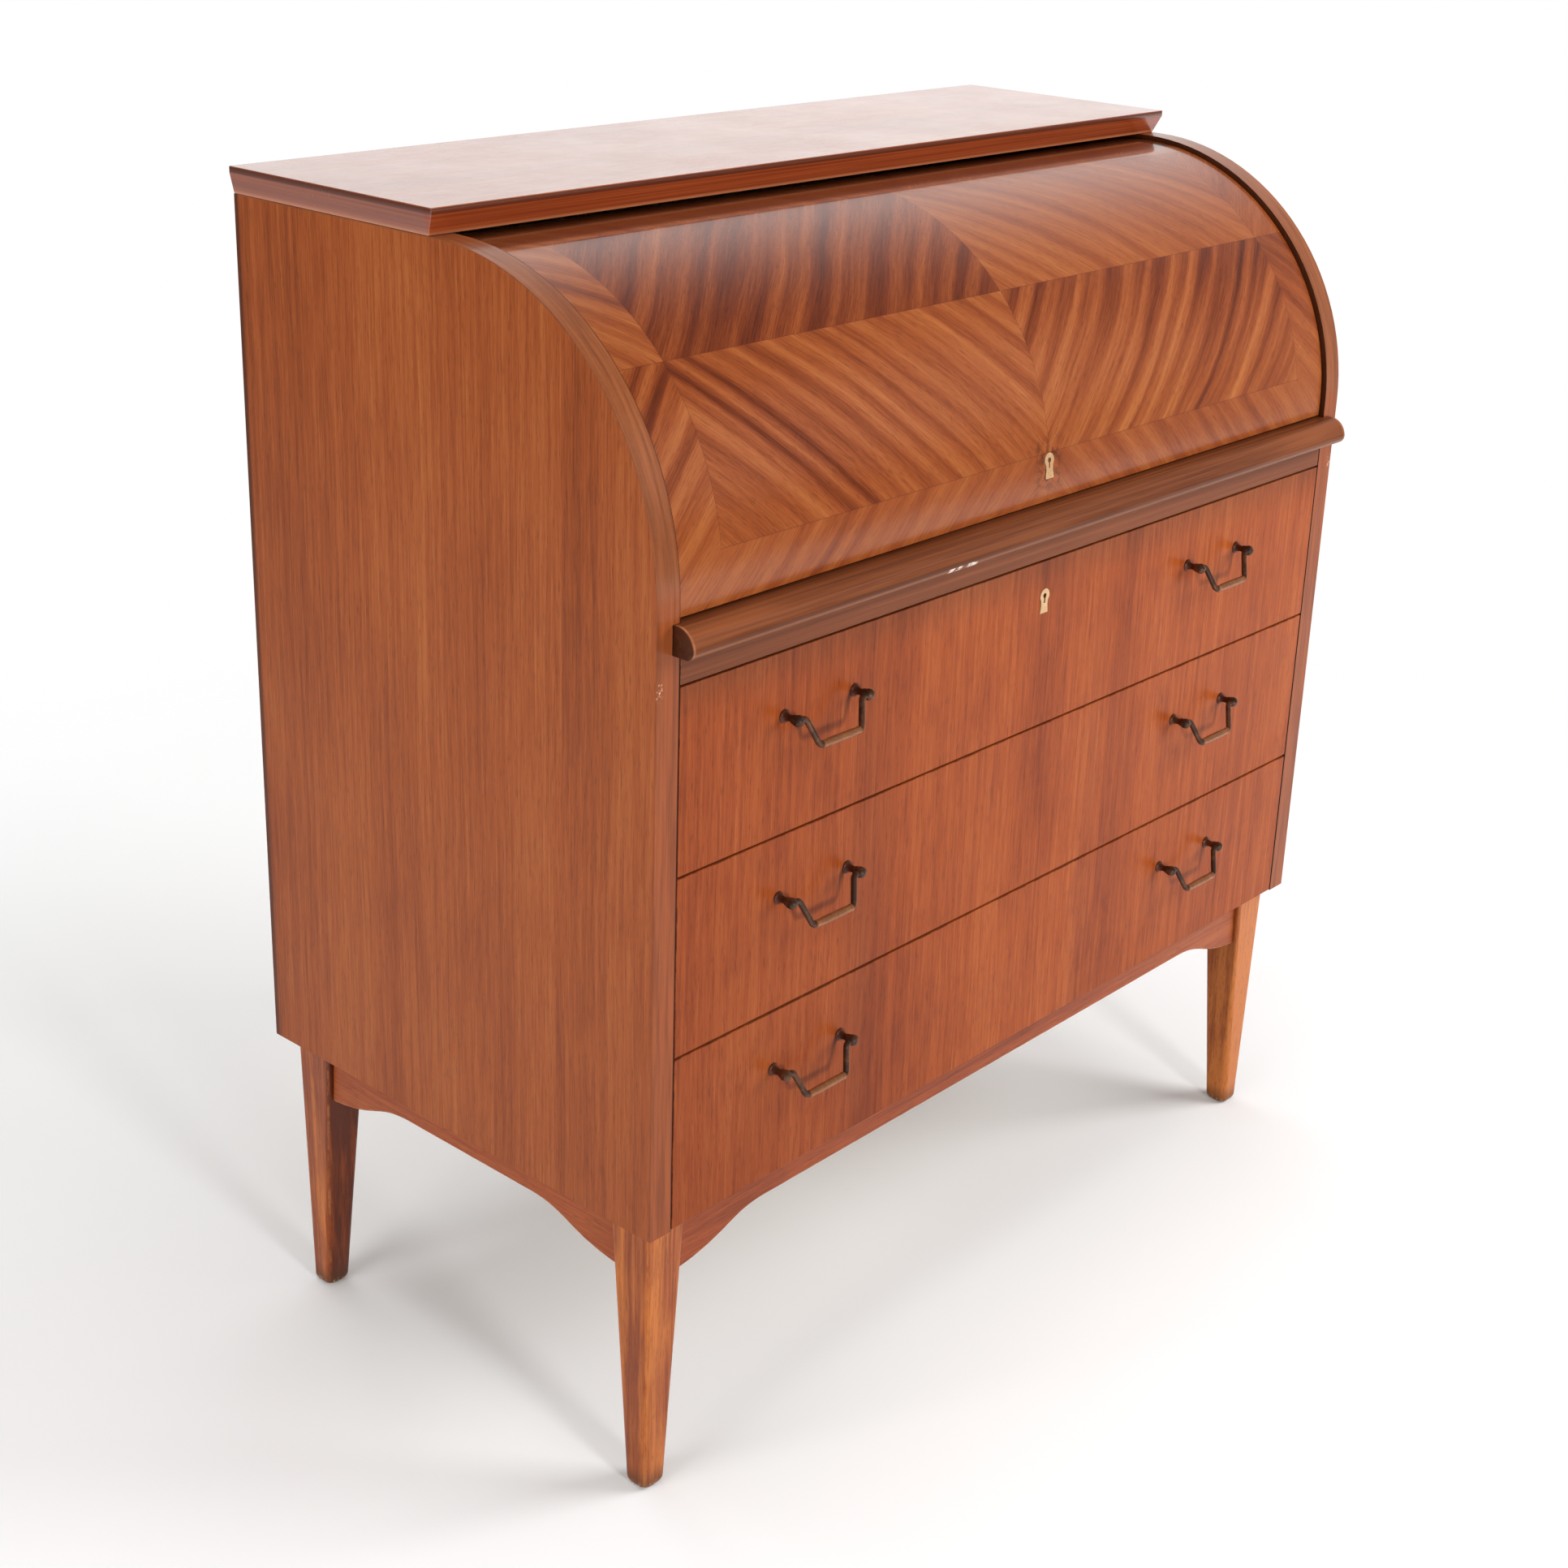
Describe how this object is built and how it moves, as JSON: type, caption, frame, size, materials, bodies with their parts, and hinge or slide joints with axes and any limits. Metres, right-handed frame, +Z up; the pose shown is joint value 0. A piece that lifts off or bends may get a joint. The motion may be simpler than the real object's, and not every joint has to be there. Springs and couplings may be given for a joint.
{
  "type": "roll top desk",
  "caption": "Mahogany writing desk with a curved cylinder front that rolls back as the writing slide is pulled out, drawers with drop bails below, and tapered legs.",
  "frame": {"origin": "middle of the whole desk's box, at floor level", "axes": "+Z up, -Y out of the front where the drawers open, +X towards the end on the right of someone facing the front"},
  "size_m": [0.9072, 0.481, 0.989],
  "materials": {
    "mahogany_veneer": "satin lacquer over straight-grained reddish-brown veneer",
    "solid_mahogany": "satin lacquer over solid reddish-brown wood, worn at edges",
    "figured_veneer": "gloss lacquer over matched striped veneer",
    "inner_mahogany": "satin lacquer",
    "pale_hardwood": "bare planed wood",
    "plywood": "bare plywood",
    "antique_brass": "dark antique patina",
    "pale_brass": "worn polish",
    "steel": "plain zinc-bright"
  },
  "bodies": {
    "case": {"apron_front": "mahogany_veneer", "apron_left": "mahogany_veneer", "apron_rear": "mahogany_veneer", "apron_right": "mahogany_veneer", "back_panel": "plywood", "back_screws": "steel", "bed_rail_front": "pale_hardwood", "bed_rail_rear": "pale_hardwood", "case_bottom": "pale_hardwood", "corner_blocks": "pale_hardwood", "drawer_runners": "pale_hardwood", "fitment_back": "inner_mahogany", "fitment_dividers": "inner_mahogany", "fitment_ends": "inner_mahogany", "fitment_floor": "inner_mahogany", "fitment_plinth": "inner_mahogany", "fitment_shelf": "inner_mahogany", "fitment_top": "inner_mahogany", "leg_front_left": "solid_mahogany", "leg_front_right": "solid_mahogany", "leg_rear_left": "solid_mahogany", "leg_rear_right": "solid_mahogany", "pivot_pins": "steel", "side_panel_left": "mahogany_veneer", "side_panel_right": "mahogany_veneer", "slide_bed": "pale_hardwood", "top_board": "mahogany_veneer"},
    "cylinder": {"cylinder_cheeks": "inner_mahogany", "cylinder_key_plate": "pale_brass", "cylinder_lock": "pale_brass", "cylinder_shell": "figured_veneer", "levers": "steel"},
    "slide": {"slide_board": "inner_mahogany", "slide_brackets": "steel", "slide_rail": "solid_mahogany"},
    "drawer_1_bail_left": {"drawer_1_bail_left": "antique_brass"},
    "drawer_1_bail_right": {"drawer_1_bail_right": "antique_brass"},
    "drawer_1": {"drawer_1_bottom": "plywood", "drawer_1_box": "pale_hardwood", "drawer_1_front": "mahogany_veneer", "drawer_1_key_plate": "pale_brass", "drawer_1_lock": "pale_brass", "drawer_1_posts": "antique_brass"},
    "drawer_2_bail_left": {"drawer_2_bail_left": "antique_brass"},
    "drawer_2_bail_right": {"drawer_2_bail_right": "antique_brass"},
    "drawer_2": {"drawer_2_bottom": "plywood", "drawer_2_box": "pale_hardwood", "drawer_2_front": "mahogany_veneer", "drawer_2_posts": "antique_brass"},
    "drawer_3_bail_left": {"drawer_3_bail_left": "antique_brass"},
    "drawer_3_bail_right": {"drawer_3_bail_right": "antique_brass"},
    "drawer_3": {"drawer_3_bottom": "plywood", "drawer_3_box": "pale_hardwood", "drawer_3_front": "mahogany_veneer", "drawer_3_posts": "antique_brass"},
    "small_drawer_left": {"small_drawer_left_box": "pale_hardwood", "small_drawer_left_front": "mahogany_veneer"},
    "small_drawer_right": {"small_drawer_right_box": "pale_hardwood", "small_drawer_right_front": "mahogany_veneer"}
  },
  "joints": [
    {"name": "slide_pull", "type": "slide", "parent": "case", "child": "slide", "axis": [0, -1, 0], "range_m": [0, 0.2]},
    {"name": "cylinder_roll", "type": "hinge", "parent": "case", "child": "cylinder", "pos_m": [0, 0.00455, 0.748], "axis": [-1, 0, 0], "range_deg": [0, 88]},
    {"name": "drawer_1_pull", "type": "slide", "parent": "case", "child": "drawer_1", "axis": [0, -1, 0], "range_m": [0, 0.3]},
    {"name": "drawer_1_bail_left_swing", "type": "hinge", "parent": "drawer_1", "child": "drawer_1_bail_left", "pos_m": [-0.278, -0.22945, 0.637], "axis": [-1, 0, 0], "range_deg": [0, 85]},
    {"name": "drawer_1_bail_right_swing", "type": "hinge", "parent": "drawer_1", "child": "drawer_1_bail_right", "pos_m": [0.254, -0.22945, 0.637], "axis": [-1, 0, 0], "range_deg": [0, 85]},
    {"name": "drawer_2_pull", "type": "slide", "parent": "case", "child": "drawer_2", "axis": [0, -1, 0], "range_m": [0, 0.3]},
    {"name": "drawer_2_bail_left_swing", "type": "hinge", "parent": "drawer_2", "child": "drawer_2_bail_left", "pos_m": [-0.278, -0.22945, 0.4902], "axis": [-1, 0, 0], "range_deg": [0, 85]},
    {"name": "drawer_2_bail_right_swing", "type": "hinge", "parent": "drawer_2", "child": "drawer_2_bail_right", "pos_m": [0.254, -0.22945, 0.4902], "axis": [-1, 0, 0], "range_deg": [0, 85]},
    {"name": "drawer_3_pull", "type": "slide", "parent": "case", "child": "drawer_3", "axis": [0, -1, 0], "range_m": [0, 0.3]},
    {"name": "drawer_3_bail_left_swing", "type": "hinge", "parent": "drawer_3", "child": "drawer_3_bail_left", "pos_m": [-0.278, -0.22945, 0.3434], "axis": [-1, 0, 0], "range_deg": [0, 85]},
    {"name": "drawer_3_bail_right_swing", "type": "hinge", "parent": "drawer_3", "child": "drawer_3_bail_right", "pos_m": [0.254, -0.22945, 0.3434], "axis": [-1, 0, 0], "range_deg": [0, 85]},
    {"name": "small_drawer_left_pull", "type": "slide", "parent": "case", "child": "small_drawer_left", "axis": [0, -1, 0], "range_m": [0, 0.11]},
    {"name": "small_drawer_right_pull", "type": "slide", "parent": "case", "child": "small_drawer_right", "axis": [0, -1, 0], "range_m": [0, 0.11]}
  ],
  "couplings": [
    {"joint": "cylinder_roll", "follows": "slide_pull", "rad_per_m": 7.6774}
  ]
}
